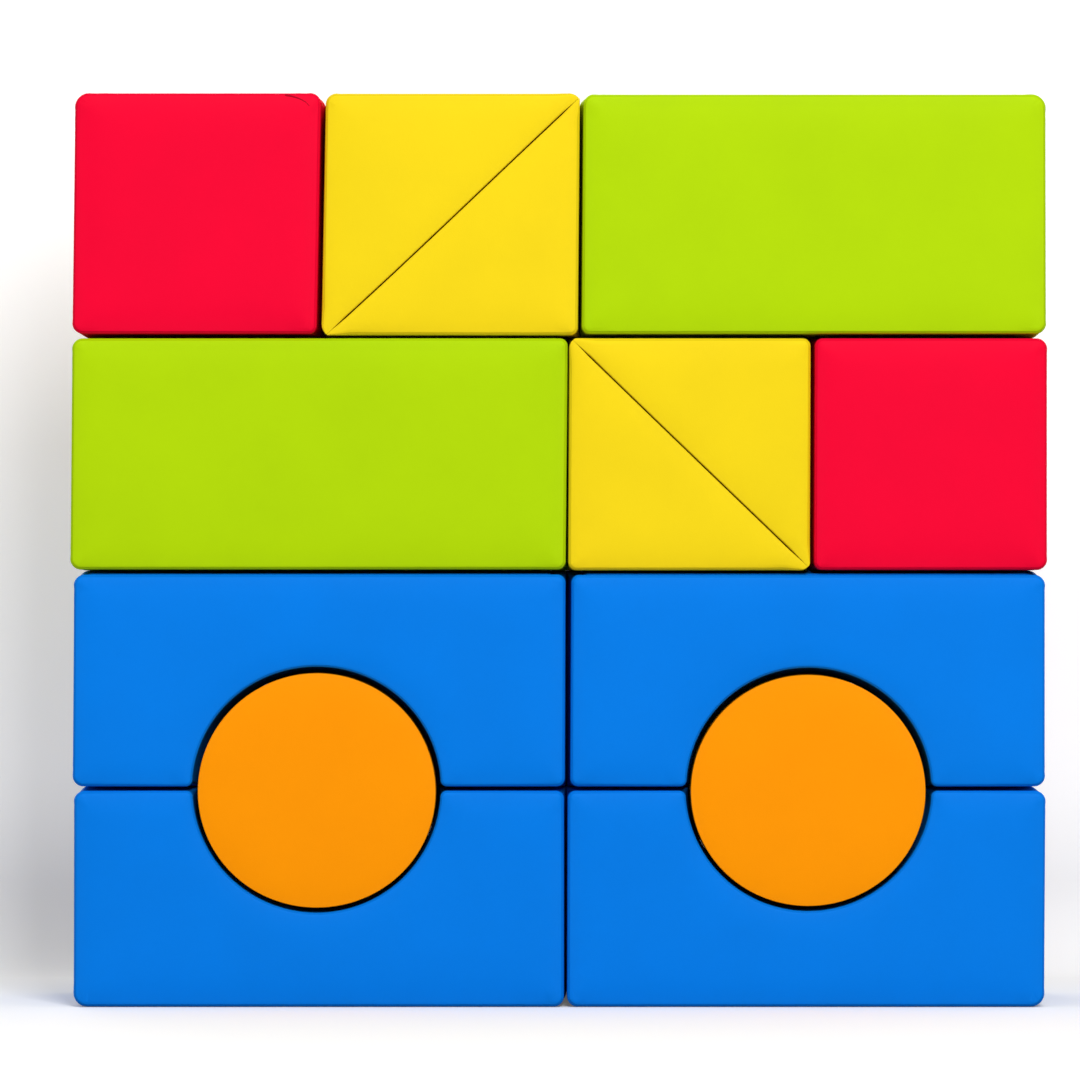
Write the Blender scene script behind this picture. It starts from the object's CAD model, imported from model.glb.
import math

import bpy
import numpy as np
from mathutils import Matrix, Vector
from mathutils.geometry import delaunay_2d_cdt


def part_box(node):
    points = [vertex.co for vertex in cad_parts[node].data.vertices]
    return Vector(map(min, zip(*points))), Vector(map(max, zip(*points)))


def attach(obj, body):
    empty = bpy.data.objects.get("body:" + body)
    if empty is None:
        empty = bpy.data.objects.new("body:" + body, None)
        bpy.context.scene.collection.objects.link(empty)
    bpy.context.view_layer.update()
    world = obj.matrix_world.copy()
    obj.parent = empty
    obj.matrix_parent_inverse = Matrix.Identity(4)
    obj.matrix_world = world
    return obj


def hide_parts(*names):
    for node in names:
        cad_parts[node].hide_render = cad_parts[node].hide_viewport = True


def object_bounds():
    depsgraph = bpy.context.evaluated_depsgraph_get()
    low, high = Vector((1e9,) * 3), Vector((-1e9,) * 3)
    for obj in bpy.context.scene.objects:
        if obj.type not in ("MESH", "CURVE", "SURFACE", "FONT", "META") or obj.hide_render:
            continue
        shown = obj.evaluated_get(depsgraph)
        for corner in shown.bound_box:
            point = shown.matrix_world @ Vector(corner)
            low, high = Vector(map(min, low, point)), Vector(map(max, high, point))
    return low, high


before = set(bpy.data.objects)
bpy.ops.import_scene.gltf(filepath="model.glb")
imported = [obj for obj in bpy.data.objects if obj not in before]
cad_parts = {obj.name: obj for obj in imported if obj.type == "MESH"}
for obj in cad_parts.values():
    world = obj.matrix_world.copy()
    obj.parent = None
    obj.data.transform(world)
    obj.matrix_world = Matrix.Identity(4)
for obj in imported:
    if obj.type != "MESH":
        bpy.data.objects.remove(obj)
cad_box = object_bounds()

# Foam cores: each block is one piece of firm open-cell foam, cut to shape with a hot wire.
# Its edges are trimmed round to follow the seams, and a shallow bed for the zip is routed into the rear face.
# A core is pushed into its cover through the open zip and touches the cover all round.
MM = 0.001
BLOCKS = sorted(name[: -len("_foam")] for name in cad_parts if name.endswith("_foam"))
# Which way a wedge's square corner points: across and up.
SQUARE_CORNER = {
    "top_upper_wedge": (-1, 1),
    "top_lower_wedge": (1, -1),
    "middle_lower_wedge": (-1, -1),
    "middle_upper_wedge": (1, 1),
}
# Blocks whose sides are nearer than this stand next to each other.
NEXT_TO = 13 * MM
# The room under a cylinder in its tunnel.
SEAT_GAP = 0.3 * MM
# How far the seams draw a block in beside another, along a row and where it stands free,
# and how much further than that at its bottom and its top, in mm.
SIDE_INSET = 0.1 * MM
ROW_INSET = 2.5 * MM
FREE_INSET = 0.3 * MM
DRAWN_IN = {
    "top_cube": (0, -0.8),
    "top_upper_wedge": (-1.6, -0.3),
    "top_lower_wedge": (-1.6, -0.3),
    "top_brick": (0, 0.8),
    "middle_brick": (-1.1, 0),
    "middle_lower_wedge": (-2, 0),
    "middle_upper_wedge": (-2, 0),
    "middle_cube": (-1.7, 0),
    "left_upper_arch": (0, 1.8),
    "right_upper_arch": (0, 2.2),
}
# Radii of the rims at corners, at a wedge's tip, foot and slope, at a tunnel's mouth and round a cylinder.
# A rim under the sharp radius grows away from its corner.
CORNER_RIM = 8 * MM
TIP_RIM = 5 * MM
FOOT_RIM = 0.15 * MM
SLOPE_RIM = 2.4 * MM
MOUTH_RIM = 6 * MM
DISC_RIM = 1.3 * MM
SHARP_RIM = 1 * MM
SHARP_GROWTH = 0.33
# Where a wedge's rims start to taper towards its tip, where the gap along its slope starts and is open,
# how far the slope's front line lies off the square's diagonal (x, z), and the fillets of the cut tip.
TIP_TAPER = 34 * MM
SLOPE_START, SLOPE_OPEN = 8 * MM, 30 * MM
SLOPE_SHIFT = {"top": (2.5 * MM, -2.5 * MM), "middle": (1 * MM, 1 * MM)}
TIP_SHARE = 0.8
FOOT_SHARE = 0.16
# The border round the panel on an arch's long side, and the step at its edge.
PANEL_INSET = 18 * MM
PANEL_LEDGE = 0.4 * MM
# Points along a fillet, a tunnel and a cylinder, and where a tunnel's points start after its mouth's fillet.
FILLET_STEPS = 9
TUNNEL_STEPS = 74
DISC_STEPS = 150
PAST_FILLET = 1.15
# How much smaller the foam is than its cover, the size of its mesh, and the room round and under its zip.
FOAM_EXTRA = 1.8 * MM
FOAM_INSET = 2.7 * MM
FOAM_STEP = 24 * MM
FOAM_CELL = 60 * MM
FOAM_ROWS = 4
BED_ROOM = 1.2 * MM
BED_CORNER = 3 * MM
BED_FLOOR_ROOM = 0.6 * MM
FOAM_COLOUR = (0.85, 0.79, 0.57)
OLD_FOAM_COLOUR = (0.8, 0.7, 0.42)
# An outline's sizes in mm: fillets of corners with no, one and two blocks beside them, and of tunnel mouths;
# what is cut off a wedge's tip, in the same order; half the gap along a slope at its ends and its middle;
# the cylinder's inset above and below; the tunnel's inset. The play is the share of the room above a cylinder
# that its tunnel keeps at the crown, and the shift says if the slope lies off the square's diagonal.
FOAM_FORM = {
    "corners": (14, 11, 11),
    "mouth": 7,
    "tips": (16, 16, 16),
    "slope": (1.8, 2.6),
    "disc": (2.1, 6),
    "tunnel": 2.6,
    "play": {"left": 0.72, "right": 0.8},
    "shift": 1,
}


def block_box(block):
    """The box that a block fills with its cover on. The two wedges of a pair share one square."""
    members = [block]
    if block in SQUARE_CORNER:
        row = block.split("_")[0]
        members = [f"{row}_upper_wedge", f"{row}_lower_wedge"]
    boxes = [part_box(f"{member}_cover") for member in members]
    low = Vector(min(box[0][axis] for box in boxes) for axis in range(3))
    high = Vector(max(box[1][axis] for box in boxes) for axis in range(3))
    return low, high


BOXES = {block: block_box(block) for block in BLOCKS}


def neighbour_gap(block, axis, side):
    """The gap from one side of a block to the block beside it, or 0 if that side is free."""
    low, high = BOXES[block]
    across = 2 - axis
    for other_low, other_high in BOXES.values():
        gap = other_low[axis] - high[axis] if side > 0 else low[axis] - other_high[axis]
        shared = min(high[across], other_high[across]) - max(low[across], other_low[across])
        if shared > NEXT_TO and 0 < gap < NEXT_TO:
            return gap
    return 0


def seam_box(block, extra):
    """A block's box at its seams, which draw it in most along the rows."""
    low, high = (corner.copy() for corner in BOXES[block])
    for axis, drawn in ((0, SIDE_INSET), (2, ROW_INSET)):
        for corner, side in ((low, -1), (high, 1)):
            inset = drawn if neighbour_gap(block, axis, side) else FREE_INSET
            corner[axis] -= side * (inset + extra)
    bottom, top = DRAWN_IN.get(block, (0, 0))
    low.z += bottom * MM
    high.z -= top * MM
    return low, high


def at_corner(block, across, up, sizes):
    """The size for a block's corner on this side and level, by how many blocks stand beside the corner."""
    beside = [gap for gap in (neighbour_gap(block, 0, across), neighbour_gap(block, 2, up)) if gap]
    return sizes[len(beside)] * MM


def square_corners(block, low, high, form):
    """A cube's or a brick's front outline: corners (x, z, fillet, rim), counter-clockwise from the front."""
    corners = []
    for across, up in ((-1, -1), (1, -1), (1, 1), (-1, 1)):
        x, z = high.x if across > 0 else low.x, high.z if up > 0 else low.z
        corners.append((x, z, at_corner(block, across, up, form["corners"]), CORNER_RIM))
    return corners


def wedge_corners(block, low, high, form):
    """A wedge's front outline: its square corner, and two sharp tips that are trimmed across the slope."""
    across, up = SQUARE_CORNER[block]
    square = np.array((high.x if across > 0 else low.x, high.z if up > 0 else low.z))
    tips = (
        square - np.array((across * (high.x - low.x), 0)),
        square - np.array((0, up * (high.z - low.z))),
    )
    cuts = (at_corner(block, -across, up, form["tips"]), at_corner(block, across, -up, form["tips"]))
    end_gap, middle_gap = (gap * MM for gap in form["slope"])
    along = (tips[1] - tips[0]) / np.linalg.norm(tips[1] - tips[0])
    inward = np.array((-along[1], along[0]))
    inward *= np.sign(inward @ (square - tips[0]))
    shift = form["shift"] * inward @ np.array(SLOPE_SHIFT[block.split("_")[0]])
    on_slope = tips[0] + inward * (end_gap + shift)
    legs = []
    for tip, cut, slope_way in zip(tips, cuts, (along, -along)):
        leg = (square - tip) / np.linalg.norm(square - tip)
        trimmed = tip + leg * cut
        end = inward @ (trimmed - on_slope)
        foot = trimmed - inward * end
        half = math.acos(leg @ -inward) / 2
        legs.append(
            [
                (*(tip + leg * TIP_TAPER), 0, CORNER_RIM),
                (*trimmed, TIP_SHARE * end * math.tan(half), min(TIP_RIM, end)),
                (*foot, FOOT_SHARE * end, FOOT_RIM),
                (*(foot + slope_way * SLOPE_START), 0, 2 * FOOT_RIM),
                (*(foot + slope_way * SLOPE_OPEN + inward * (middle_gap - end_gap)), 0, SLOPE_RIM),
            ]
        )
    fillet = at_corner(block, across, up, form["corners"])
    corners = [(*square, fillet, CORNER_RIM), *legs[0], *reversed(legs[1])]
    return corners if across * up > 0 else corners[::-1]


def arch_corners(block, low, high, form):
    """An arch's front outline: a brick with half a tunnel cut into the side that meets its twin."""
    side = block.split("_")[0]
    disc_low, disc_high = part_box(f"{side}_cylinder_cover")
    disc = (disc_low + disc_high) / 2
    disc_radius = (disc_high.x - disc_low.x) / 2
    axis_z = (BOXES[f"{side}_lower_arch"][1].z + BOXES[f"{side}_upper_arch"][0].z) / 2
    drop = axis_z - disc.z
    play = drop + SEAT_GAP
    round_way = -1 if "lower" in block else 1
    long_side, land = (low.z, high.z) if round_way < 0 else (high.z, low.z)

    def tunnel_radius(angle):
        """How far the tunnel is from the cylinder's axis, which lies lower than the tunnel's."""
        gap = play + drop * math.sin(angle)
        at_crown = max(0, math.sin(angle)) ** 2
        kept = 1 - (1 - form["play"][side]) * at_crown if form["play"] else 0
        return disc_radius + max(SEAT_GAP, kept * gap) + form["tunnel"] * MM

    mouth = math.asin((land - disc.z) / tunnel_radius(0))
    reach = tunnel_radius(mouth) * math.cos(mouth)
    fillet = form["mouth"] * MM
    first = mouth + round_way * PAST_FILLET * fillet / disc_radius
    fillets = {}
    for across in (-1, 1):
        for up in (-1, 1):
            fillets[across, -up * round_way] = at_corner(block, across, up, form["corners"])
    left, right = BOXES[block][0].x + PANEL_INSET, BOXES[block][1].x - PANEL_INSET
    corners = [(low.x, long_side, fillets[-1, -1], CORNER_RIM)]
    for x in (left - PANEL_LEDGE, left + PANEL_LEDGE, right - PANEL_LEDGE, right + PANEL_LEDGE):
        corners.append((x, long_side, 0, CORNER_RIM))
    corners.append((high.x, long_side, fillets[1, -1], CORNER_RIM))
    corners.append((high.x, land, fillets[1, 1], CORNER_RIM))
    corners.append((disc.x + reach, land, fillet, MOUTH_RIM))
    for k in range(TUNNEL_STEPS + 1):
        angle = first + (round_way * math.pi - 2 * first) * k / TUNNEL_STEPS
        radius = tunnel_radius(angle)
        corners.append((disc.x + radius * math.cos(angle), disc.z + radius * math.sin(angle), 0, MOUTH_RIM))
    corners.append((disc.x - reach, land, fillet, MOUTH_RIM))
    corners.append((low.x, land, fillets[-1, 1], CORNER_RIM))
    return corners if round_way < 0 else corners[::-1]


def disc_corners(block, form):
    """A cylinder's front outline, a circle whose lower edge is drawn in where the cylinder rests on it."""
    low, high = BOXES[block]
    middle, radius = (low + high) / 2, (high.x - low.x) / 2
    above, below = form["disc"]
    corners = []
    for k in range(DISC_STEPS):
        angle = 2 * math.pi * k / DISC_STEPS
        reach = radius - (above + (below - above) * (0.5 - 0.5 * math.sin(angle)) ** 4) * MM
        corners.append((middle.x + reach * math.cos(angle), middle.z + reach * math.sin(angle), 0, DISC_RIM))
    return corners


def block_corners(block, box, form):
    if block in SQUARE_CORNER:
        return wedge_corners(block, *box, form)
    if block.endswith("arch"):
        return arch_corners(block, *box, form)
    if block.endswith("cylinder"):
        return disc_corners(block, form)
    return square_corners(block, *box, form)


def round_off(corners):
    """The points and rim radii of an outline with its corners filleted."""
    points, rims = [], []
    for i, (x, z, fillet, rim) in enumerate(corners):
        here = np.array((x, z))
        if fillet == 0:
            points.append(here)
            rims.append(rim)
            continue
        before = np.array(corners[i - 1][:2]) - here
        after = np.array(corners[(i + 1) % len(corners)][:2]) - here
        before = before / np.linalg.norm(before)
        after = after / np.linalg.norm(after)
        half = math.acos(before @ after) / 2
        centre = here + (before + after) / np.linalg.norm(before + after) * fillet / math.sin(half)
        start = here + before * fillet / math.tan(half) - centre
        turn_way = np.sign(before[1] * after[0] - before[0] * after[1])
        for k in range(FILLET_STEPS + 1):
            turn = turn_way * (math.pi - 2 * half) * k / FILLET_STEPS
            cos, sin = math.cos(turn), math.sin(turn)
            points.append(centre + (start[0] * cos - start[1] * sin, start[0] * sin + start[1] * cos))
            rims.append(rim)
    return points, rims


def walk(corners, step, like=None):
    """The points, outward normals and rim radii along a closed outline, at most a step apart.

    If like is given, the outline gets as many points as the outline with those corners.
    """
    points, rims = round_off(corners)
    measured = round_off(like)[0] if like else points
    even_points, even_rims = [], []
    for i, here in enumerate(points):
        after = (i + 1) % len(points)
        parts = max(1, math.ceil(np.linalg.norm(measured[after] - measured[i]) / step))
        for k in range(parts):
            even_points.append(here + (points[after] - here) * k / parts)
            even_rims.append(rims[i] + (rims[after] - rims[i]) * k / parts)
    points, rims = np.array(even_points), np.array(even_rims)
    for x, z, fillet, rim in corners:
        if 0 < rim < SHARP_RIM:
            rims = np.minimum(rims, rim + SHARP_GROWTH * np.hypot(points[:, 0] - x, points[:, 1] - z))
    ahead = np.roll(points, -1, axis=0) - points
    ahead /= np.linalg.norm(ahead, axis=1)[:, None]
    along = ahead + np.roll(ahead, 1, axis=0)
    along /= np.linalg.norm(along, axis=1)[:, None]
    return points, np.column_stack((along[:, 1], -along[:, 0])), rims


def within(spots, border):
    """Which spots lie inside a closed border."""
    inside = np.zeros(len(spots), bool)
    for (x0, z0), (x1, z1) in zip(border, np.roll(border, -1, axis=0)):
        if z0 == z1:
            continue
        crosses = (spots[:, 1] < z0) != (spots[:, 1] < z1)
        inside ^= crosses & (spots[:, 0] < x0 + (spots[:, 1] - z0) * (x1 - x0) / (z1 - z0))
    return inside


# How near to a border a panel's inner spots may lie, in cells.
BORDER_ROOM = 0.6


def fill_panel(borders, cell):
    """A flat panel in one border, round a second one if there is one: its inner spots and its triangles."""
    low, high = borders[0].min(axis=0), borders[0].max(axis=0)
    xs = np.arange(low[0] + cell / 2, high[0], cell)
    zs = np.arange(low[1] + cell / 2, high[1], cell)
    grid = np.array([(x + cell / 2 * (row % 2), z) for row, z in enumerate(zs) for x in xs]).reshape(-1, 2)
    keep = within(grid, borders[0])
    for border in borders[1:]:
        keep &= ~within(grid, border)
    for border in borders:
        near = np.linalg.norm(grid[:, None] - border[None], axis=2).min(axis=1)
        keep &= near > BORDER_ROOM * cell
    grid = grid[keep]
    flat = np.vstack([*borders, grid])
    edges, start = [], 0
    for border in borders:
        count = len(border)
        edges += [(start + i, start + (i + 1) % count) for i in range(count)]
        start += count
    in_mm = [Vector(spot) for spot in flat / MM]
    found = delaunay_2d_cdt(in_mm, edges, [], 1, 1e-6)
    triangles = [[found[3][i][0] for i in face] for face in found[2]]
    if len(borders) > 1:
        middles = np.array([flat[face].mean(axis=0) for face in triangles])
        in_hole = within(middles, borders[1])
        triangles = [face for face, hole in zip(triangles, in_hole) if not hole]
    return grid, triangles


# How far behind its faces a block starts to fill out, and where it is full.
FULL_FROM, FULL_TO = 26 * MM, 120 * MM


def fullness(y, front, rear):
    """How far a block has filled out at a depth: not at all near its faces, and wholly at mid-depth."""
    share = np.clip((np.minimum(y - front, rear - y) - FULL_FROM) / (FULL_TO - FULL_FROM), 0, 1)
    return share**2 * (3 - 2 * share)


# Where a rim's rings lie on its quarter turn, close together at the seam, and the seam's share on each side.
RIM_STEPS = (0, 0.14, 0.27, 0.36, 0.42, 0.46, 0.5, 0.54, 0.58, 0.64, 0.73, 0.86, 1)
SEAM_SHARE = 0.1


def sewn_form(outline, full, front, rear, rows, cell, groove, opening):
    """A closed block: rounded front and rear rims, a band between them, two panels and an opening behind.

    full is the outline that the band fills out to at mid-depth, and groove is the seam's depth along a rim.
    opening is a border with its normals and the (grow, y) steps of the edge that goes down into it.
    Returns the points, the faces and what part of the block each point is in.
    """
    points, normals, rims = outline
    count = len(points)
    rings, parts = [], []

    def band(y):
        return points + (full - points) * fullness(y, front, rear)[:, None]

    for step in RIM_STEPS:
        cos, sin = math.cos(step * math.pi / 2), math.sin(step * math.pi / 2)
        dent = groove * max(0, 1 - ((step - 0.5) / SEAM_SHARE) ** 2) ** 2
        inset, depth = rims * (1 - sin) + dent * sin, rims * (1 - cos) + dent * cos
        rings.append((band(front + depth) - normals * inset[:, None], front + depth))
        parts.append("seam" if abs(step - 0.5) < SEAM_SHARE else "rim")
    back = [(flat, front + rear - depth) for flat, depth in reversed(rings)]
    back_parts = parts[::-1]
    for y in rows:
        rings.append((band(np.full(count, y)), np.full(count, y)))
        parts.append("band")
    rings, parts = rings + back, parts + back_parts
    spots = [np.column_stack((flat[:, 0], y, flat[:, 1])) for flat, y in rings]
    labels = [part for part in parts for _ in range(count)]
    faces = []
    for k in range(len(rings) - 1):
        here, there = k * count, (k + 1) * count
        for i in range(count):
            j = (i + 1) % count
            faces.append((here + i, there + i, there + j, here + j))
    total = len(rings) * count

    grid, triangles = fill_panel([rings[0][0]], cell)
    place = [*range(count), *range(total, total + len(grid))]
    faces += [tuple(place[i] for i in face) for face in triangles]
    spots.append(np.column_stack((grid[:, 0], np.full(len(grid), front), grid[:, 1])))
    labels += ["front"] * len(grid)
    total += len(grid)

    border, border_normals, steps = opening
    loops = [border + border_normals * grow for grow, _ in steps]
    grid, triangles = fill_panel([rings[-1][0], loops[0]], cell)
    last, size = (len(rings) - 1) * count, len(border)
    place = [*range(last, last + count), *range(total, total + size)]
    place += range(total + size * len(steps), total + size * len(steps) + len(grid))
    faces += [tuple(place[i] for i in reversed(face)) for face in triangles]
    for loop, (_, y) in zip(loops, steps):
        spots.append(np.column_stack((loop[:, 0], np.full(size, y), loop[:, 1])))
        labels += ["opening"] * size
    for k in range(len(steps) - 1):
        here, there = total + k * size, total + (k + 1) * size
        for i in range(size):
            j = (i + 1) % size
            faces.append((here + i, there + i, there + j, here + j))
    floor = total + (len(steps) - 1) * size
    faces.append(tuple(floor + i for i in reversed(range(size))))
    spots.append(np.column_stack((grid[:, 0], np.full(len(grid), rear), grid[:, 1])))
    labels += ["rear"] * len(grid)
    return np.vstack(spots), faces, np.array(labels)


def new_piece(name, points, faces, material, sharp=50):
    """A mesh object of these points and faces, smooth apart from its sharp folds."""
    mesh = bpy.data.meshes.new(name)
    mesh.from_pydata([tuple(point) for point in points], [], faces)
    mesh.shade_smooth()
    mesh.set_sharp_from_angle(angle=math.radians(sharp))
    mesh.materials.append(material)
    piece = bpy.data.objects.new(name, mesh)
    bpy.context.scene.collection.objects.link(piece)
    return piece


# How far each block's left and right edge leans or shifts at its front face, in mm:
# left edge at the bottom and top, right edge at the bottom and top. Stacked by hand, none stands quite true.
LEANS = {
    "top_cube": (-5, -1.3, -5.3, 0.4),
    "top_upper_wedge": (-4.5, 1.1, -1.2, 1.4),
    "top_lower_wedge": (-4.5, 1.1, -1.2, 1.4),
    "top_brick": (0.5, 2.8, 1.7, 1.1),
    "middle_brick": (-3.5, -1, -2.8, 0),
    "middle_lower_wedge": (-0.8, 0.6, 0.4, 1.5),
    "middle_upper_wedge": (-0.8, 0.6, 0.4, 1.5),
    "middle_cube": (2.6, 3.8, 1.4, 1.5),
    "left_upper_arch": (-3.1, -1.3, -0.7, 0.2),
    "left_lower_arch": (-1.9, -1.3, -1.7, -1.7),
    "right_upper_arch": (2.9, 4.4, 2.3, 2.3),
    "right_lower_arch": (-1, -0.2, 1.5, 3.2),
}
# How quickly a lean dies away from the edge towards the middle of the block.
LEAN_POWER = 4


def lean(block, points):
    """Points of a block moved sideways as it leans, most at its front and not at all from mid-depth on."""
    if block not in LEANS:
        return points
    left_base, left_top, right_base, right_top = (shift * MM for shift in LEANS[block])
    low, high = BOXES[block]
    across = (points[:, 0] - low.x) / (high.x - low.x)
    up = (points[:, 2] - low.z) / (high.z - low.z)
    left = left_base + (left_top - left_base) * up
    right = right_base + (right_top - right_base) * up
    moved = points.copy()
    forward = 1 - fullness(np.minimum(points[:, 1], (low.y + high.y) / 2), low.y, high.y)
    share = np.clip(across, 0, 1) ** LEAN_POWER, np.clip(1 - across, 0, 1) ** LEAN_POWER
    moved[:, 0] += (left * share[1] + right * share[0]) * forward
    return moved


def add_node(material, kind, values=None, **links):
    """A node in a material, with values and links given by the names of its inputs, _ for a space."""
    node = material.node_tree.nodes.new(kind)
    for name, value in (values or {}).items():
        if name in node.inputs:
            node.inputs[name].default_value = value
        else:
            setattr(node, name, value)
    for name, socket in links.items():
        material.node_tree.links.new(socket, node.inputs[name.replace("_", " ")])
    return node


def new_material(name):
    """A new material, its main shader and the place on the piece that its grain follows."""
    material = bpy.data.materials.new(name)
    material.use_nodes = True
    shader = material.node_tree.nodes["Principled BSDF"]
    place = add_node(material, "ShaderNodeTexCoord").outputs["Object"]
    return material, shader, place


def connect(material, output, node, name):
    material.node_tree.links.new(output, node.inputs[name])


def foam_material():
    """Cream open-cell foam: fine pores in two sizes and a faint yellowing."""
    material, shader, place = new_material("cut_foam")
    cloud = add_node(material, "ShaderNodeTexNoise", {"Scale": 14, "Detail": 3}, Vector=place)
    tint = add_node(material, "ShaderNodeValToRGB", Fac=cloud.outputs["Fac"])
    tint.color_ramp.elements[0].color = (*OLD_FOAM_COLOUR, 1)
    tint.color_ramp.elements[1].color = (*FOAM_COLOUR, 1)
    connect(material, tint.outputs["Color"], shader, "Base Color")
    pores = add_node(material, "ShaderNodeTexVoronoi", {"Scale": 700}, Vector=place)
    values = {"Strength": 0.5, "Distance": 0.6 * MM}
    dents = add_node(material, "ShaderNodeBump", values, Height=pores.outputs["Distance"])
    connect(material, dents.outputs["Normal"], shader, "Normal")
    shader.inputs["Roughness"].default_value = 0.95
    return material


def zip_border(block, grow, fillet, step):
    """The border of the zip's tape on a block's rear face, grown all round."""
    low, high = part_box(f"{block}_zip")
    x0, x1, z0, z1 = low.x - grow, high.x + grow, low.z - grow, high.z + grow
    corners = [(x, z, fillet, 0) for x, z in ((x0, z0), (x1, z0), (x1, z1), (x0, z1))]
    points, normals, _ = walk(corners, step)
    return points, normals


cut_foam = foam_material()
for block in BLOCKS:
    low, high = BOXES[block]
    points, normals, rims = walk(block_corners(block, seam_box(block, FOAM_EXTRA), FOAM_FORM), FOAM_STEP)
    outline = (points, normals, np.maximum(rims - FOAM_EXTRA, FOOT_RIM))
    front, rear = low.y + FOAM_INSET, high.y - FOAM_INSET
    border, border_normals = zip_border(block, BED_ROOM, BED_CORNER, FOAM_STEP)
    bed_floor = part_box(f"{block}_slider")[0].y - BED_FLOOR_ROOM
    opening = (border, border_normals, [(0, rear), (0, bed_floor)])
    rows = np.linspace(front, rear, FOAM_ROWS + 2)[1:-1]
    spots, faces, _ = sewn_form(outline, points, front, rear, rows, FOAM_CELL, 0, opening)
    core = new_piece(f"{block}_core", lean(block, spots), faces, cut_foam)
    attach(core, block)
    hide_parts(f"{block}_foam")

# Covers: wipe-clean vinyl on a knitted backing, sewn inside out from a front panel, a rear panel and a band.
# The two seams run round the front and rear rims, and the rear panel is folded into a welt round the zip.
# The foam fills a cover tightly, so every panel crowns a little between its seams.
VINYL = {
    "red_vinyl": (0.88, 0.0006, 0.0325),
    "yellow_vinyl": (0.873, 0.648, 0.0085),
    "green_vinyl": (0.425, 0.66, 0.0012),
    "blue_vinyl": (0.0004, 0.197, 0.777),
    "orange_vinyl": (1, 0.31, 0.0003),
}
BLOCK_VINYL = {"cube": "red", "wedge": "yellow", "brick": "green", "arch": "blue", "cylinder": "orange"}
# The knitted back of the cloth, which shows in the zip's pocket.
BACKING = (0.018, 0.018, 0.02)
# Half the gap that blocks keep at mid-depth, and how far a free side fills out there.
TOUCH = 0.05 * MM
FREE_ROOM = 0.5 * MM
# A cover's outline where its seams draw it in, and at mid-depth where the foam fills it out.
SEAM_FORM = {
    "corners": (17, 13, 10),
    "mouth": 8,
    "tips": (7, 7, 7),
    "slope": (0.1, 0.8),
    "disc": (0.1, 5.2),
    "tunnel": 0.8,
    "play": {"left": 0.72, "right": 0.8},
    "shift": 1,
}
FULL_FORM = {
    "corners": (16, 12, 0.6),
    "mouth": 2,
    "tips": (7, 7, 1),
    "slope": (0.1, 0.12),
    "disc": (0.1, 0.15),
    "tunnel": -0.22,
    "play": None,
    "shift": 0,
}
# How far behind the block's faces the panels start before they crown, and the size of the mesh.
COVER_INSET = 0.9 * MM
COVER_STEP = 6.5 * MM
COVER_CELL = 11 * MM
BAND_ROWS = 18
# The depth of a seam, and how it changes along the seam.
SEAM_DEPTH = 0.35 * MM
SEAM_PUCKER = 0.2 * MM
PUCKER_WAVES = (23 * MM, 37 * MM, 61 * MM)
# How far the welt covers the tape, its slot's corners and points, and its underside over the tape's.
WELT = 7 * MM
WELT_CORNER = 1.5 * MM
WELT_STEP = 8 * MM
WELT_OVER_TAPE = 0.85 * MM
# The pocket that the zip lies in: its room under the slider and round the tape, and where its lining starts.
POCKET_ROOM = 0.3 * MM
POCKET_GROWTH = 0.6 * MM
POCKET_EDGE = 0.5 * MM
# The welt's section from the flat panel to the slot, and its turned edge below the slot:
# (distance from the slot's edge, height over the panel or over the welt's underside), in mm.
WELT_SECTION = (
    (9, 0), (7.6, 0), (7.1, 0.3), (4.2, 0.4), (3.5, 0.2), (3, 0), (2.5, 0.2), (1.8, 0.4),
    (0.8, 0.35), (0.15, 0.05), (0, -0.6),
)
WELT_TURN = ((0, 0.4), (0.3, 0))
# An arch's panel: its border at the front and rear, how deep its bed lies at the seams, its thickness,
# and how near to the long side the points under it are.
PANEL_DEPTH = 14 * MM
PANEL_BED = {"upper": 4.6 * MM, "lower": 1.6 * MM}
PANEL_THICK = 1.2 * MM
BED_REACH = 6 * MM
# How far the panels crown, how sharply that ends at their rims, and how far free sides swell.
FACE_CROWN = 2.6 * MM
CROWN_POWER = 8
FREE_SWELL = 0.5 * MM
# The simulation's frames, steps in a frame and pressure, and the least move that counts.
SWELL_FRAMES = 20
CLOTH_STEPS = 4
PRESSURE = 4
STILL = 1e-9
# How strongly a seam's dirt, a rim's wear and the pocket's lining show.
MARKS = {"seam": 0.5, "rim": 0.35, "pocket": 1}


def full_box(block):
    """A block's box at mid-depth, where it fills out until it all but touches its neighbours."""
    low, high = (corner.copy() for corner in BOXES[block])
    for axis in (0, 2):
        for corner, side in ((low, -1), (high, 1)):
            gap = neighbour_gap(block, axis, side)
            corner[axis] += side * (gap / 2 - TOUCH if gap else FREE_ROOM)
    low.z = max(low.z, TOUCH)
    return low, high


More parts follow.
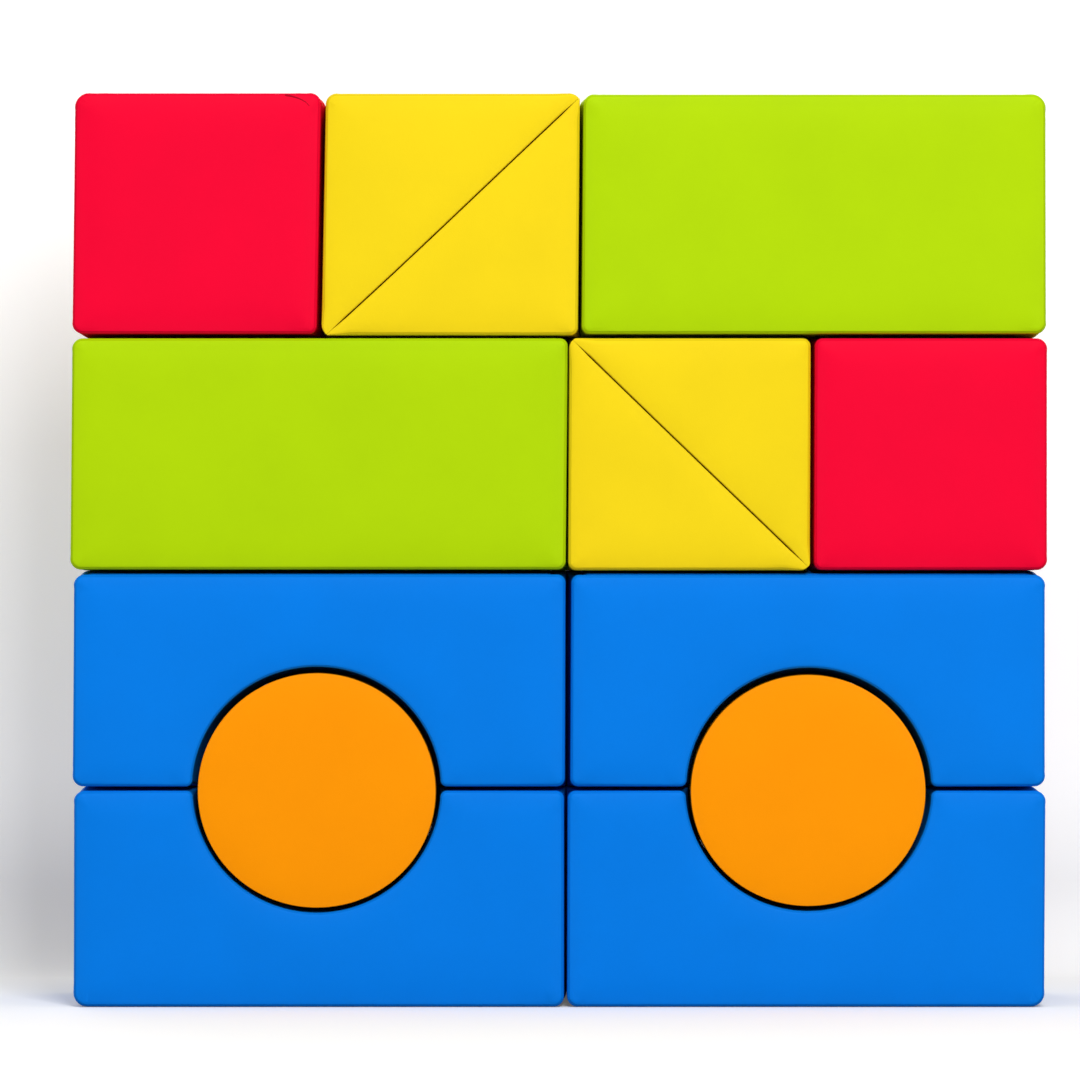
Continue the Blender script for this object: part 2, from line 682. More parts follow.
def vinyl_material(name, colour):
    """Satin vinyl: a pebbled grain, faint clouds in the colour, worn rims, dirt in the seams, a dark back."""
    material, shader, place = new_material(name)
    light = tuple(min(1, 1.015 * part) for part in colour)
    deep = tuple(0.97 * part for part in colour)
    cloud = add_node(material, "ShaderNodeTexNoise", {"Scale": 9, "Detail": 4}, Vector=place)
    body = add_node(material, "ShaderNodeValToRGB", Fac=cloud.outputs["Fac"])
    body.color_ramp.elements[0].position = 0.3
    body.color_ramp.elements[0].color = (*deep, 1)
    body.color_ramp.elements[1].position = 0.7
    body.color_ramp.elements[1].color = (*light, 1)
    specks = add_node(material, "ShaderNodeTexNoise", {"Scale": 160, "Detail": 2}, Vector=place)
    rim = add_node(material, "ShaderNodeAttribute", {"attribute_name": "rim"})
    worn = add_node(material, "ShaderNodeMath", {"operation": "MULTIPLY"})
    connect(material, rim.outputs["Fac"], worn, 0)
    connect(material, specks.outputs["Fac"], worn, 1)
    rubbed = tuple(0.9 * part + 0.004 for part in colour)
    wear = add_node(material, "ShaderNodeMixRGB", {"Color2": (*rubbed, 1)}, Color1=body.outputs["Color"])
    connect(material, worn.outputs["Value"], wear, "Fac")
    seam = add_node(material, "ShaderNodeAttribute", {"attribute_name": "seam"})
    dirty = tuple(0.7 * part for part in colour)
    dirt = add_node(material, "ShaderNodeMixRGB", {"Color2": (*dirty, 1)}, Color1=wear.outputs["Color"])
    connect(material, seam.outputs["Fac"], dirt, "Fac")
    pocket = add_node(material, "ShaderNodeAttribute", {"attribute_name": "pocket"})
    lined = add_node(material, "ShaderNodeMixRGB", {"Color2": (*BACKING, 1)}, Color1=dirt.outputs["Color"])
    connect(material, pocket.outputs["Fac"], lined, "Fac")
    connect(material, lined.outputs["Color"], shader, "Base Color")
    values = {"To Min": 0.5, "To Max": 0.62}
    sheen = add_node(material, "ShaderNodeMapRange", values, Value=cloud.outputs["Fac"])
    connect(material, sheen.outputs["Result"], shader, "Roughness")
    shader.inputs["Specular IOR Level"].default_value = 0.04
    grain = add_node(material, "ShaderNodeTexVoronoi", {"Scale": 620}, Vector=place)
    values = {"Strength": 0.14, "Distance": 0.25 * MM}
    pebbles = add_node(material, "ShaderNodeBump", values, Height=grain.outputs["Distance"])
    slack = add_node(material, "ShaderNodeTexNoise", {"Scale": 21, "Detail": 2}, Vector=place)
    values = {"Strength": 0.06, "Distance": 5 * MM}
    waves = add_node(material, "ShaderNodeBump", values, Height=slack.outputs["Fac"])
    connect(material, pebbles.outputs["Normal"], waves, "Normal")
    connect(material, waves.outputs["Normal"], shader, "Normal")
    return material


def swell_room(block, points, normals):
    """How far a cover may swell at points: its panels crown, its free sides a little, the others hardly."""
    room = np.full(len(normals), TOUCH / 2)
    if not block.endswith("cylinder"):
        for axis in (0, 2):
            for corner, side in zip(BOXES[block], (-1, 1)):
                if not neighbour_gap(block, axis, side):
                    outer = abs(points[:, axis] - corner[axis]) < NEXT_TO
                    room += FREE_SWELL * outer * np.clip(side * normals[:, axis], 0, 1) ** 2
    if BOXES[block][0].z < NEXT_TO:
        room[normals[:, 2] < -0.5] = TOUCH / 2
    return room * (1 - normals[:, 1] ** 2) + FACE_CROWN * normals[:, 1] ** CROWN_POWER


def seam_depths(outline, seed):
    """The depth of a rim's seam along its length, deeper and shallower where the cloth puckers."""
    points = outline[0]
    along = np.cumsum(np.linalg.norm(points - np.roll(points, 1, axis=0), axis=1))
    phases = np.random.default_rng(seed).uniform(0, 2 * math.pi, len(PUCKER_WAVES))
    waves = sum(np.sin(2 * math.pi * along / wave + phase) for wave, phase in zip(PUCKER_WAVES, phases))
    return SEAM_DEPTH + SEAM_PUCKER * waves / len(PUCKER_WAVES)


def panel_bed(block, spots):
    """Which points of an arch's cover lie under the panel on its long side, and how high they lie."""
    low, high = BOXES[block]
    inward, end = (1, 0) if "lower" in block else (-1, 1)
    long_side, full_side = BOXES[block][end].z, full_box(block)[end].z
    under = abs(spots[:, 2] - long_side) < BED_REACH
    under &= (spots[:, 0] > low.x + PANEL_INSET) & (spots[:, 0] < high.x - PANEL_INSET)
    under &= (spots[:, 1] > low.y + PANEL_DEPTH) & (spots[:, 1] < high.y - PANEL_DEPTH)
    drawn = long_side + inward * PANEL_BED[block.split("_")[1]]
    filled = full_side + inward * PANEL_THICK
    return under, drawn + (filled - drawn) * fullness(spots[:, 1], low.y, high.y)


vinyls = {slot: vinyl_material(slot, colour) for slot, colour in VINYL.items()}
block_slot = {block: BLOCK_VINYL[block.split("_")[-1]] + "_vinyl" for block in BLOCKS}
covers, cover_points, cover_labels = {}, {}, {}
for seed, block in enumerate(BLOCKS):
    low, high = BOXES[block]
    seam_corners = block_corners(block, seam_box(block, 0), SEAM_FORM)
    outline = walk(seam_corners, COVER_STEP)
    full = walk(block_corners(block, full_box(block), FULL_FORM), COVER_STEP, seam_corners)[0]
    front, rear = low.y + COVER_INSET, high.y - COVER_INSET
    edge = PANEL_DEPTH - PANEL_LEDGE, PANEL_DEPTH + PANEL_LEDGE
    between = np.linspace(low.y + edge[1], high.y - edge[1], BAND_ROWS)
    rows = [low.y + edge[0], *between, high.y - edge[0]]
    under_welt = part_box(f"{block}_zip")[0].y + WELT_OVER_TAPE
    pocket_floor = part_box(f"{block}_slider")[0].y - POCKET_ROOM
    border, border_normals = zip_border(block, -WELT, WELT_CORNER, WELT_STEP)
    steps = [(grow * MM, rear + rise * MM) for grow, rise in WELT_SECTION]
    steps += [(grow * MM, under_welt + rise * MM) for grow, rise in WELT_TURN]
    steps += [(WELT + POCKET_GROWTH, under_welt), (WELT + POCKET_GROWTH, pocket_floor)]
    opening = (border, border_normals, steps)
    depths = seam_depths(outline, seed)
    spots, faces, labels = sewn_form(outline, full, front, rear, rows, COVER_CELL, depths, opening)
    labels[(labels == "opening") & (spots[:, 1] < under_welt + POCKET_EDGE)] = "pocket"
    if block.endswith("arch"):
        bed, level = panel_bed(block, spots)
        spots[bed, 2] = level[bed]
        labels[bed] = "bed"
    slot = block_slot[block]
    cover = new_piece(f"{block}_sewn_cover", spots, faces, vinyls[slot])
    covers[block], cover_points[block], cover_labels[block] = cover, spots, labels


def set_points(piece, points):
    piece.data.vertices.foreach_set("co", points.astype(np.float32).ravel())
    piece.data.update()


def get_normals(piece):
    normals = np.zeros(3 * len(piece.data.vertices), np.float32)
    piece.data.vertex_normals.foreach_get("vector", normals)
    return normals.reshape(-1, 3).astype(float)


def swell(pieces, held):
    """Blows covers up from inside with their seams held, and returns the points that they come to."""
    for block, cover in pieces.items():
        sewn = cover.vertex_groups.new(name="sewn")
        sewn.add([int(i) for i in np.flatnonzero(held[block])], 1, "REPLACE")
        cloth = cover.modifiers.new("swell", "CLOTH")
        cloth.settings.vertex_group_mass = "sewn"
        cloth.settings.use_pressure = True
        cloth.settings.uniform_pressure_force = PRESSURE
        cloth.settings.effector_weights.gravity = 0
        cloth.settings.quality = CLOTH_STEPS
        cloth.collision_settings.use_collision = False
        cloth.point_cache.frame_start = 1
        cloth.point_cache.frame_end = SWELL_FRAMES
    for moment in range(1, SWELL_FRAMES + 1):
        bpy.context.scene.frame_set(moment)
    depsgraph = bpy.context.evaluated_depsgraph_get()
    swollen = {}
    for block, cover in pieces.items():
        shape = cover.evaluated_get(depsgraph).to_mesh()
        flat = np.zeros(3 * len(shape.vertices), np.float32)
        shape.vertices.foreach_get("co", flat)
        swollen[block] = flat.reshape(-1, 3).astype(float)
        cover.evaluated_get(depsgraph).to_mesh_clear()
    for cover in pieces.values():
        cover.modifiers.clear()
        cover.vertex_groups.clear()
    bpy.context.scene.frame_set(1)
    return swollen


held = {block: np.isin(cover_labels[block], ("seam", "opening", "pocket", "bed")) for block in BLOCKS}
swollen = swell(covers, held)
for block, cover in covers.items():
    start = cover_points[block]
    normals = get_normals(cover)
    most = swell_room(block, start, normals)
    move = swollen[block] - start
    size = np.maximum(np.linalg.norm(move, axis=1), STILL)
    move *= (most * (1 - np.exp(-size / most)) / size)[:, None]
    set_points(cover, lean(block, start + move))
    labels = cover_labels[block]
    for name, share in MARKS.items():
        layer = cover.data.attributes.new(name, "FLOAT", "POINT")
        layer.data.foreach_set("value", np.where(labels == name, share, 0).astype(np.float32))
    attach(cover, block)
    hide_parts(f"{block}_cover")

# Arch panels: the long flat side of an arch is closed last, with a separate vinyl panel.
# It is cut from the same cloth, laid over the turned edges of the band and stitched all round its border.
# The panel's corners and the size of its mesh.
PANEL_CORNER = 7 * MM
PANEL_STEP = 12 * MM
PANEL_CELL = 22 * MM
# The panel's section from its underside to its face: (inset from its border, height), in mm.
PANEL_SECTION = (
    (0.7, 0), (0.15, 0.1), (0, 0.4), (0, 0.75), (0.25, 1.05), (0.9, 1.15),
    (3.9, 1.15), (4.6, 0.95), (5, 0.85), (5.4, 0.95), (6.1, 1.15),
)
PANEL_STITCH_IN = 5 * MM
PANEL_STITCH_HEIGHT = 0.95 * MM
STITCH_PITCH = 5 * MM
STITCH_LENGTH = 3.6 * MM
THREAD_RADIUS = 0.32 * MM
# A stitch from hole to hole: (share of its half length, share of the thread's radius, lift in mm).
STITCH_SECTION = ((-1, 0.35, -0.3), (-0.75, 1, -0.05), (0, 1, 0.08), (0.75, 1, -0.05), (1, 0.35, -0.3))
THREAD_SIDES = 6


def stack(loops):
    """The points and faces of a solid with closed loops one after another, and a flat face at each end."""
    size = len(loops[0])
    faces = [tuple(range(size)), tuple(range(len(loops) * size - 1, (len(loops) - 1) * size - 1, -1))]
    for k in range(len(loops) - 1):
        here, there = k * size, (k + 1) * size
        for i in range(size):
            j = (i + 1) % size
            faces.append((here + j, here + i, there + i, there + j))
    return np.vstack(loops), faces


def gather(solids):
    """Several solids' points and faces as one list of points and one of faces."""
    points, faces, start = [], [], 0
    for solid_points, solid_faces in solids:
        points.append(solid_points)
        faces += [tuple(start + i for i in face) for face in solid_faces]
        start += len(solid_points)
    return np.vstack(points), faces


def stitches(path, up):
    """A row of stitches along a closed path on a surface that faces up."""
    up = np.array(up, float)
    gaps = np.linalg.norm(np.roll(path, -1, axis=0) - path, axis=1)
    along = np.concatenate(([0], np.cumsum(gaps)))
    closed = np.vstack((path, path[:1]))
    count = round(along[-1] / STITCH_PITCH)
    solids = []
    for k in range(count):
        middle = along[-1] * k / count
        ends = [(middle + shift) % along[-1] for shift in (-STITCH_LENGTH / 2, STITCH_LENGTH / 2)]
        ends = [np.array([np.interp(end, along, closed[:, axis]) for axis in range(3)]) for end in ends]
        centre, half = (ends[0] + ends[1]) / 2, (ends[1] - ends[0]) / 2
        side = np.cross(half / np.linalg.norm(half), up)
        loops = []
        for share, girth, lift in STITCH_SECTION:
            turns = [2 * math.pi * i / THREAD_SIDES for i in range(THREAD_SIDES)]
            round_it = [side * math.cos(a) + up * math.sin(a) for a in turns]
            hub = centre + half * share + up * lift * MM
            loops.append(np.array([hub + THREAD_RADIUS * girth * spoke for spoke in round_it]))
        solids.append(stack(loops))
    return gather(solids)


def thread_material(name, colour):
    """Spun polyester thread, dyed a little deeper than the vinyl, with its twist as fine slanted ridges."""
    material, shader, place = new_material(name)
    shade = add_node(material, "ShaderNodeTexNoise", {"Scale": 300, "Detail": 1}, Vector=place)
    tint = add_node(material, "ShaderNodeValToRGB", Fac=shade.outputs["Fac"])
    tint.color_ramp.elements[0].color = (*(0.55 * part for part in colour), 1)
    tint.color_ramp.elements[1].color = (*(0.8 * part + 0.01 for part in colour), 1)
    connect(material, tint.outputs["Color"], shader, "Base Color")
    values = {"Scale": 900, "bands_direction": "DIAGONAL"}
    twist = add_node(material, "ShaderNodeTexWave", values, Vector=place)
    values = {"Strength": 0.4, "Distance": 0.1 * MM}
    ridges = add_node(material, "ShaderNodeBump", values, Height=twist.outputs["Fac"])
    connect(material, ridges.outputs["Normal"], shader, "Normal")
    shader.inputs["Roughness"].default_value = 0.7
    return material


threads = {slot: thread_material(f"{slot}_thread", colour) for slot, colour in VINYL.items()}
for block in BLOCKS:
    if not block.endswith("arch"):
        continue
    panel_low, panel_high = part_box(f"{block}_panel")
    outward = -1 if "lower" in block else 1
    x0, y0, x1, y1 = panel_low.x, panel_low.y, panel_high.x, panel_high.y
    corners = [(x, y, PANEL_CORNER, 0) for x, y in ((x0, y0), (x1, y0), (x1, y1), (x0, y1))]
    points, normals, _ = walk(corners, PANEL_STEP)

    def on_bed(flat, height):
        """Points of the panel (x, y) at a height over the bed that it lies on."""
        spots = np.column_stack((flat, np.zeros(len(flat))))
        spots[:, 2] = panel_bed(block, spots)[1] + outward * height
        return lean(block, spots)

    rings = [(points - normals * inset * MM, height * MM) for inset, height in PANEL_SECTION]
    spots, faces = stack([on_bed(*ring) for ring in rings])
    faces, spots, total = [face[::-1] for face in faces[2:]], [spots], len(spots)
    for k, turn in ((0, -1), (len(rings) - 1, 1)):
        flat, height = rings[k]
        grid, triangles = fill_panel([flat], PANEL_CELL)
        place = [*range(k * len(flat), (k + 1) * len(flat)), *range(total, total + len(grid))]
        faces += [tuple(place[i] for i in face[::turn]) for face in triangles]
        spots.append(on_bed(grid, height))
        total += len(grid)
    spots = np.vstack(spots)
    if outward < 0:
        faces = [face[::-1] for face in faces]
    slot = block_slot[block]
    panel = new_piece(f"{block}_sewn_panel", spots, faces, vinyls[slot])
    path = on_bed(points - normals * PANEL_STITCH_IN, PANEL_STITCH_HEIGHT)
    stitching = new_piece(f"{block}_panel_stitching", *stitches(path, (0, 0, outward)), threads[slot])
    for piece in (panel, stitching):
        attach(piece, block)
    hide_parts(f"{block}_panel")

# Corner tuck: the top cube's cover was sewn up a little short, and a tuck of cloth runs round one corner.
# It starts on the top edge, turns down beside the right edge and runs out there, in its own shade.
# Its line on the front face (x, z) in mm, its size at the start, the share of that at its end, and its shade.
TUCK_PATH = ((-338, 1123.6), (-331, 1122.3), (-324, 1120.4), (-318, 1118), (-312.5, 1114.8), (-308, 1110))
TUCK_STEP = 2 * MM
TUCK_WIDTH, TUCK_HEIGHT, TUCK_SINK = 1.5 * MM, 0.6 * MM, 0.15 * MM
TUCK_END = 0.25
TUCK_SIDES = 7
TUCK_SHADE = 0.42
IN_FRONT = -1
corner_points = np.array(TUCK_PATH) * MM
lengths = np.concatenate(([0], np.cumsum(np.linalg.norm(np.diff(corner_points, axis=0), axis=1))))
stations = np.linspace(0, lengths[-1], math.ceil(lengths[-1] / TUCK_STEP))
path = np.column_stack([np.interp(stations, lengths, corner_points[:, axis]) for axis in (0, 1)])
bpy.context.view_layer.update()
loops = []
for k, (x, z) in enumerate(path):
    _, spot, normal, _ = covers["top_cube"].ray_cast((x, IN_FRONT, z), (0, 1, 0))
    ahead = path[min(k + 1, len(path) - 1)] - path[max(k - 1, 0)]
    side = normal.cross(Vector((ahead[0], 0, ahead[1]))).normalized()
    size = 1 + (TUCK_END - 1) * stations[k] / lengths[-1]
    loop = []
    for i in range(TUCK_SIDES):
        turn = math.pi * i / (TUCK_SIDES - 1)
        out = side * math.cos(turn) * TUCK_WIDTH + normal * (math.sin(turn) * TUCK_HEIGHT - TUCK_SINK)
        loop.append(tuple(spot + out * size))
    loops.append(np.array(loop[::-1]))
tucked_vinyl = vinyl_material("tucked_vinyl", tuple(TUCK_SHADE * part for part in VINYL["red_vinyl"]))
tuck = new_piece("top_cube_corner_tuck", *stack(loops), tucked_vinyl)
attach(tuck, "top_cube")

# Zips: two woven polyester tapes, each with a row of nylon coil along its edge, and crimped end stops.
# A zip is sewn under the welt before the cover is turned right side out.
TAPE_THICK = 0.8 * MM
TAPE_STEP = 14 * MM
TAPE_RIPPLE, RIPPLE_LENGTH = 0.04 * MM, 9 * MM
# Half of the tape's section: (distance from the middle of the zip, height over its underside), in mm.
TAPE_SECTION = (
    (0.6, 0), (11.2, 0), (11.5, 0.2), (11.5, 0.6), (11.2, 0.8), (3.5, 0.8),
    (3.25, 0.9), (2.9, 0.9), (2.65, 0.8), (0.6, 0.8),
)
TOOTH_PITCH = 2 * MM
TOOTH_OFFSET = 0.25
# A turn of the coil seen along the zip's width: (along, height over the tape), in mm,
# and how far it reaches from the middle of the zip: (distance in mm, share of its girth).
TOOTH_SECTION = ((-0.62, 0), (-0.6, 0.9), (-0.3, 1.6), (0.3, 1.6), (0.6, 0.9), (0.62, 0))
TOOTH_REACH = ((0.34, 1), (1.3, 0.72), (2.45, 0.9))
STOP_LENGTH = 5.6 * MM
STOP_WIDTH = 5 * MM
STOP_CORNER, STOP_STEP = 1.2 * MM, 2 * MM
# A stop's section from the tape up: (inset, height), in mm.
STOP_SECTION = ((0, 0), (0, 1.1), (0.15, 1.45), (0.5, 1.7), (0.9, 1.75))
TAPE_COLOUR = (0.022, 0.022, 0.027)
COIL_COLOUR = (0.03, 0.03, 0.034)
ZINC_COLOUR = (0.42, 0.42, 0.44)


def tape_material():
    """Black herringbone tape: two crossing sets of fine ribs, matte, with a little lint."""
    material, shader, place = new_material("woven_tape")
    lint = add_node(material, "ShaderNodeTexNoise", {"Scale": 260, "Detail": 3}, Vector=place)
    tint = add_node(material, "ShaderNodeValToRGB", Fac=lint.outputs["Fac"])
    tint.color_ramp.elements[0].color = (*TAPE_COLOUR, 1)
    tint.color_ramp.elements[1].color = (*(2.2 * part for part in TAPE_COLOUR), 1)
    connect(material, tint.outputs["Color"], shader, "Base Color")
    ribs = []
    for direction, scale in (("X", 450), ("Z", 380)):
        values = {"Scale": scale, "bands_direction": direction}
        ribs.append(add_node(material, "ShaderNodeTexWave", values, Vector=place).outputs["Fac"])
    weave = add_node(material, "ShaderNodeMath", {"operation": "MAXIMUM"})
    connect(material, ribs[0], weave, 0)
    connect(material, ribs[1], weave, 1)
    values = {"Strength": 0.5, "Distance": 0.15 * MM}
    bumps = add_node(material, "ShaderNodeBump", values, Height=weave.outputs["Value"])
    connect(material, bumps.outputs["Normal"], shader, "Normal")
    shader.inputs["Roughness"].default_value = 0.85
    return material


def coil_material():
    """Black nylon monofilament, smooth and a little shiny where the slider has polished it."""
    material, shader, place = new_material("nylon_coil")
    polish = add_node(material, "ShaderNodeTexNoise", {"Scale": 90, "Detail": 2}, Vector=place)
    values = {"To Min": 0.25, "To Max": 0.5}
    sheen = add_node(material, "ShaderNodeMapRange", values, Value=polish.outputs["Fac"])
    connect(material, sheen.outputs["Result"], shader, "Roughness")
    tint = add_node(material, "ShaderNodeValToRGB", Fac=polish.outputs["Fac"])
    tint.color_ramp.elements[0].color = (*COIL_COLOUR, 1)
    tint.color_ramp.elements[1].color = (*(1.6 * part for part in COIL_COLOUR), 1)
    connect(material, tint.outputs["Color"], shader, "Base Color")
    return material


def zinc_material():
    """Die-cast zinc with a dull plating: tumbled, faintly scratched and duller in patches."""
    material, shader, place = new_material("plated_zinc")
    patches = add_node(material, "ShaderNodeTexNoise", {"Scale": 240, "Detail": 4}, Vector=place)
    tint = add_node(material, "ShaderNodeValToRGB", Fac=patches.outputs["Fac"])
    tint.color_ramp.elements[0].color = (*(0.7 * part for part in ZINC_COLOUR), 1)
    tint.color_ramp.elements[1].color = (*(1.25 * part for part in ZINC_COLOUR), 1)
    connect(material, tint.outputs["Color"], shader, "Base Color")
    values = {"To Min": 0.28, "To Max": 0.5}
    dull = add_node(material, "ShaderNodeMapRange", values, Value=patches.outputs["Fac"])
    connect(material, dull.outputs["Result"], shader, "Roughness")
    scratches = add_node(material, "ShaderNodeTexNoise", {"Scale": 1500, "Detail": 2}, Vector=place)
    values = {"Strength": 0.15, "Distance": 0.05 * MM}
    marks = add_node(material, "ShaderNodeBump", values, Height=scratches.outputs["Fac"])
    connect(material, marks.outputs["Normal"], shader, "Normal")
    shader.inputs["Metallic"].default_value = 1
    return material


woven_tape, nylon_coil, plated_zinc = tape_material(), coil_material(), zinc_material()
for block in BLOCKS:
    low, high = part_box(f"{block}_zip")
    middle, tape_top = (low.z + high.z) / 2, low.y + TAPE_THICK
    halves, teeth, stops = [], [], []
    for side in (-1, 1):
        loops = []
        for x in np.linspace(low.x, high.x, math.ceil((high.x - low.x) / TAPE_STEP)):
            ripple = TAPE_RIPPLE * math.sin(x / RIPPLE_LENGTH + side)
            section = []
            for out, height in TAPE_SECTION:
                y = low.y + (height * MM + ripple if height else 0)
                section.append((x, y, middle + side * out * MM))
            loops.append(np.array(section[::side]))
        halves.append(stack(loops))
        count = int((high.x - low.x - 2 * STOP_LENGTH) / TOOTH_PITCH)
        for k in range(count):
            x = low.x + STOP_LENGTH + (k + 0.5 + TOOTH_OFFSET * side) * TOOTH_PITCH
            loops = []
            for out, girth in TOOTH_REACH:
                z = middle + side * out * MM
                section = [(x + along * girth * MM, tape_top + up * MM, z) for along, up in TOOTH_SECTION]
                loops.append(np.array(section[::side]))
            teeth.append(stack(loops))
    for x in (low.x + STOP_LENGTH / 2, high.x - STOP_LENGTH / 2):
        corners = []
        for along, up in ((-1, -1), (1, -1), (1, 1), (-1, 1)):
            corners.append((x + along * (STOP_LENGTH / 2), middle + up * (STOP_WIDTH / 2), STOP_CORNER, 0))
        points, normals, _ = walk(corners, STOP_STEP)
        loops = []
        for inset, height in STOP_SECTION:
            flat = points - normals * inset * MM
            y = np.full(len(flat), tape_top + height * MM)
            loops.append(np.column_stack((flat[:, 0], y, flat[:, 1])))
        stops.append(stack(loops))
    tape = new_piece(f"{block}_zip_tape", *gather(halves), woven_tape)
    coil = new_piece(f"{block}_zip_coil", *gather(teeth), nylon_coil)
    crimps = new_piece(f"{block}_zip_stops", *gather(stops), plated_zinc)
    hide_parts(f"{block}_zip")
    for piece, slot in ((tape, "zip_tape"), (coil, "zip_tape"), (crimps, "slider_metal")):
        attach(piece, block)

# Welt stitching: one row of lockstitch round the zip holds the folded welt down on the tape.
# The thread sinks into the soft vinyl, so the row lies in its own shallow groove.
STITCH_IN = 3 * MM
STITCH_SINK = 0.05 * MM
for block in BLOCKS:
    slot = block_slot[block]
    border, border_normals = zip_border(block, -WELT, WELT_CORNER, WELT_STEP)
    row = border + border_normals * STITCH_IN
    rear = BOXES[block][1].y - COVER_INSET + STITCH_SINK
    path = np.column_stack((row[:, 0], np.full(len(row), rear), row[:, 1]))
    stitching = new_piece(f"{block}_welt_stitching", *stitches(path, (0, 1, 0)), threads[slot])
    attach(stitching, block)

# Zip sliders: small zinc castings without a pull tab, so that a child can't open a cover.
# An adult moves one with a paper clip through the hole in its upper plate.
for block in BLOCKS:
    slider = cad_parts[f"{block}_slider"]
    slider.data.materials.clear()
    slider.data.materials.append(plated_zinc)

# Studio: a sheet of white paper under and behind the wall of blocks, one large soft lamp and an even fill.
# The paper keeps the soft shadow beside the wall and fades to plain white further out.
PAPER_BACK = 0.6
PAPER_CURVE = 0.12
FLOOR_FRONT, FLOOR_REAR = -3.2, 3.2
PAPER_HALF_WIDTH = 4
PAPER_HEIGHT = 3.4
PAPER_GLOW = 0.26
FLOOR_GLOW = 0.14
REAR_GLOW = 0.08
GLOW_RISE = 0.3
PAPER_BENDS = 9
PAPER_WHITE = (0.86, 0.86, 0.86)
PAPER_TO_LIGHT = (0.4, 0.4, 0.4)
FADE_FROM, FADE_TO = 1.5, 3
WALL_HALF_HEIGHT = 0.56
KEY_PLACE = (1.05, -6, 4.4)
KEY_SIZE = (1.8, 3.6)
KEY_POWER = 317
BACK_PLACE = (-1.6, 4.5, 2.6)
BACK_SIZE = (2, 2)
BACK_POWER = 30
FILL_LIGHT = 0.66


def paper_material(name, seen_by_light, axis, span, glows):
    """White paper that the camera sees lit, with its shadows, fading to plain white away from the wall.

    Its faint glow changes from the first to the second value over a span along an axis.
    """
    material = bpy.data.materials.new(name)
    material.use_nodes = True
    tree = material.node_tree
    tree.nodes.remove(tree.nodes["Principled BSDF"])
    output = tree.nodes["Material Output"]
    place = add_node(material, "ShaderNodeTexCoord").outputs["Object"]
    off = add_node(material, "ShaderNodeVectorMath", {"operation": "SUBTRACT"})
    off.inputs[1].default_value = (0, 0, WALL_HALF_HEIGHT)
    connect(material, place, off, 0)
    far = add_node(material, "ShaderNodeVectorMath", {"operation": "LENGTH"})
    connect(material, off.outputs["Vector"], far, 0)
    values = {"From Min": FADE_FROM, "From Max": FADE_TO, "interpolation_type": "SMOOTHSTEP"}
    fade = add_node(material, "ShaderNodeMapRange", values, Value=far.outputs["Value"]).outputs["Result"]
    matte = add_node(material, "ShaderNodeBsdfDiffuse", {"Color": (*PAPER_WHITE, 1)})
    along = add_node(material, "ShaderNodeSeparateXYZ", Vector=place).outputs[axis]
    values = {"From Min": span[0], "From Max": span[1], "To Min": glows[0], "To Max": glows[1]}
    values["interpolation_type"] = "SMOOTHSTEP"
    change = add_node(material, "ShaderNodeMapRange", values, Value=along).outputs["Result"]
    glow = add_node(material, "ShaderNodeEmission", Strength=change)
    near = add_node(material, "ShaderNodeAddShader")
    connect(material, matte.outputs["BSDF"], near, 0)
    connect(material, glow.outputs["Emission"], near, 1)
    white = add_node(material, "ShaderNodeEmission", {"Strength": 1})
    seen = add_node(material, "ShaderNodeMixShader")
    connect(material, fade, seen, 0)
    connect(material, near.outputs["Shader"], seen, 1)
    connect(material, white.outputs["Emission"], seen, 2)
    path = add_node(material, "ShaderNodeLightPath").outputs
    looks = path["Is Camera Ray"]
    for ray in ("Is Glossy Ray", "Is Transmission Ray"):
        either = add_node(material, "ShaderNodeMath", {"operation": "MAXIMUM"})
        connect(material, looks, either, 0)
        connect(material, path[ray], either, 1)
        looks = either.outputs["Value"]
    if seen_by_light:
        plain = add_node(material, "ShaderNodeBsdfDiffuse", {"Color": (*PAPER_TO_LIGHT, 1)}).outputs["BSDF"]
    else:
        plain = add_node(material, "ShaderNodeBsdfTransparent").outputs["BSDF"]
        behind = add_node(material, "ShaderNodeNewGeometry").outputs["Backfacing"]
        facing = add_node(material, "ShaderNodeMath", {"operation": "SUBTRACT", "use_clamp": True})
        connect(material, looks, facing, 0)
        connect(material, behind, facing, 1)
        looks = facing.outputs["Value"]
    shown = add_node(material, "ShaderNodeMixShader")
    connect(material, looks, shown, 0)
    connect(material, plain, shown, 1)
    connect(material, seen.outputs["Shader"], shown, 2)
    connect(material, shown.outputs["Shader"], output, "Surface")
    return material


def paper_sheet(name, profile, material):
    """A wide sheet of paper that follows a profile of (y, z) points."""
    points = [(x, y, z) for y, z in profile for x in (-PAPER_HALF_WIDTH, PAPER_HALF_WIDTH)]
    faces = [(2 * k, 2 * k + 1, 2 * k + 3, 2 * k + 2) for k in range(len(profile) - 1)]
    sheet = new_piece(name, np.array(points), faces, material)
    return sheet


floor_end = PAPER_BACK - PAPER_CURVE
wall_front = cad_box[0][1]
floor_paper = paper_material("floor_paper", True, "Y", (2 * wall_front, -wall_front), (FLOOR_GLOW, REAR_GLOW))
paper_sheet("paper_floor", [(FLOOR_FRONT, 0), (FLOOR_REAR, 0)], floor_paper)
bends = [math.pi / 2 * k / PAPER_BENDS for k in range(PAPER_BENDS + 1)]
curve = [(floor_end + PAPER_CURVE * math.sin(a), PAPER_CURVE * (1 - math.cos(a))) for a in bends]
back_paper = paper_material("back_paper", False, "Z", (0, GLOW_RISE), (REAR_GLOW, PAPER_GLOW))
paper_sheet("paper_back", [*curve, (PAPER_BACK, PAPER_HEIGHT)], back_paper)


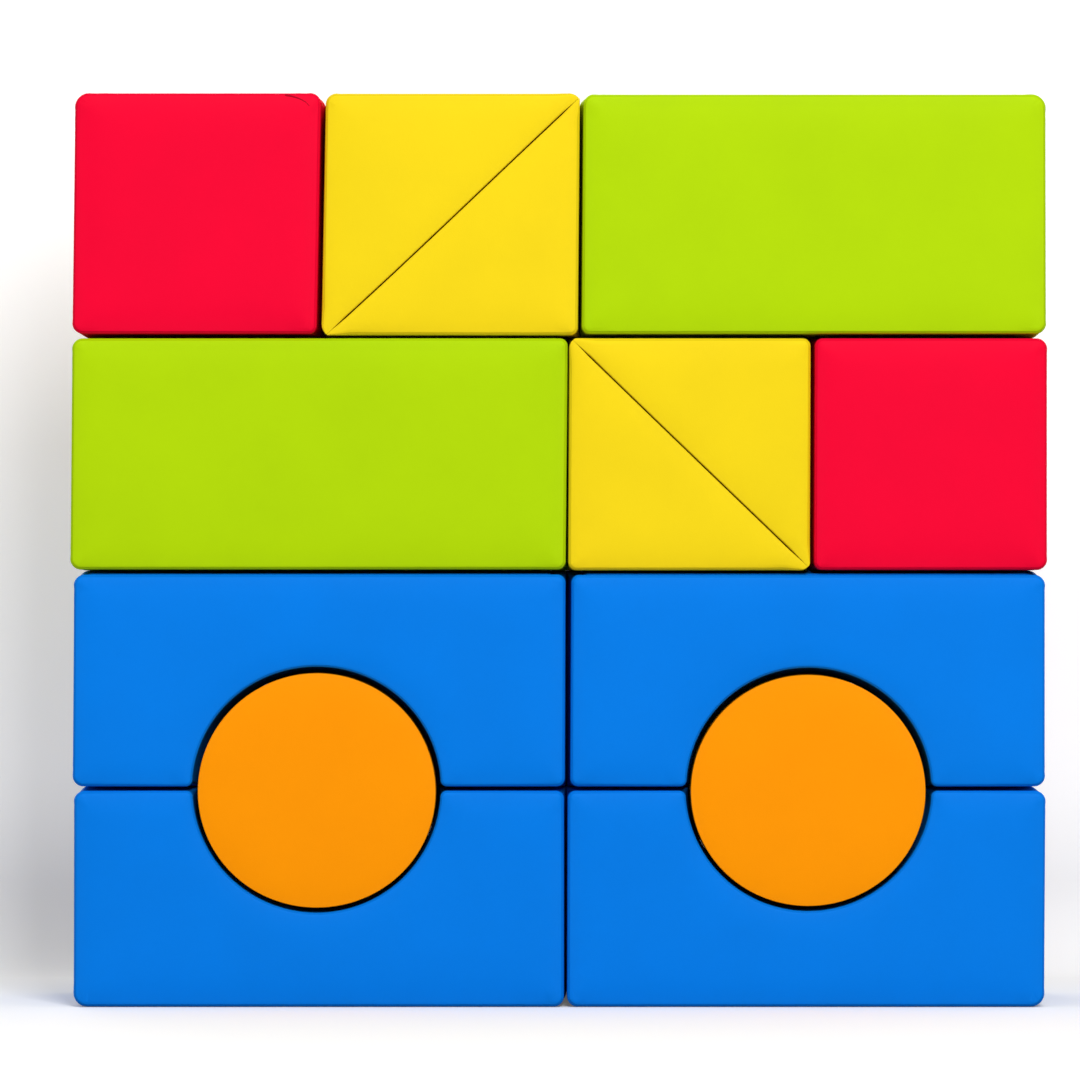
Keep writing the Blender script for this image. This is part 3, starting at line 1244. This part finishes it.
def soft_lamp(name, place, aim, size, power):
    lamp_data = bpy.data.lights.new(name, "AREA")
    lamp_data.shape = "RECTANGLE"
    lamp_data.size, lamp_data.size_y = size
    lamp_data.energy = power
    lamp = bpy.data.objects.new(name, lamp_data)
    lamp.location = place
    lamp.rotation_euler = (Vector(aim) - Vector(place)).to_track_quat("-Z", "Y").to_euler()
    bpy.context.scene.collection.objects.link(lamp)


soft_lamp("key_lamp", KEY_PLACE, (0, 0, WALL_HALF_HEIGHT), KEY_SIZE, KEY_POWER)
soft_lamp("back_lamp", BACK_PLACE, (0, 0, WALL_HALF_HEIGHT), BACK_SIZE, BACK_POWER)

world = bpy.data.worlds.new("studio")
bpy.context.scene.world = world
world.use_nodes = True
path = add_node(world, "ShaderNodeLightPath").outputs
background = world.node_tree.nodes["Background"]
background.inputs["Color"].default_value = (1, 1, 1, 1)
way = add_node(world, "ShaderNodeTexCoord").outputs["Generated"]
parts = add_node(world, "ShaderNodeSeparateXYZ", Vector=way)
# The camera's side of the room is dim, so that flat fronts keep their colour and rims still catch light.
values = {"From Min": -0.97, "From Max": -0.6, "To Min": 0.06, "To Max": 1}
values["interpolation_type"] = "SMOOTHSTEP"
room = add_node(world, "ShaderNodeMapRange", values, Value=parts.outputs["Y"])
fill = (FILL_LIGHT, FILL_LIGHT, FILL_LIGHT, 1)
strength = add_node(world, "ShaderNodeMixRGB", {"Color1": fill}, Fac=path["Is Glossy Ray"])
connect(world, room.outputs["Result"], strength, "Color2")
seen = add_node(world, "ShaderNodeMixRGB", {"Color2": (1, 1, 1, 1)}, Color1=strength.outputs["Color"])
either = add_node(world, "ShaderNodeMath", {"operation": "MAXIMUM"})
connect(world, path["Is Camera Ray"], either, 0)
connect(world, path["Is Transmission Ray"], either, 1)
connect(world, either.outputs["Value"], seen, "Fac")
connect(world, seen.outputs["Color"], background, "Color")
background.inputs["Strength"].default_value = 1

# Camera: straight on from across the room with a long lens, as level as the middle of the wall.
LENS = 243.65
CAMERA_PLACE = (-0.024, -9.15, 0.5755)
camera_data = bpy.data.cameras.new("camera")
camera_data.lens = LENS
camera = bpy.data.objects.new("camera", camera_data)
camera.location = CAMERA_PLACE
camera.rotation_euler = (math.pi / 2, 0, 0)
bpy.context.scene.collection.objects.link(camera)
bpy.context.scene.camera = camera
bpy.context.scene.view_settings.view_transform = "Standard"
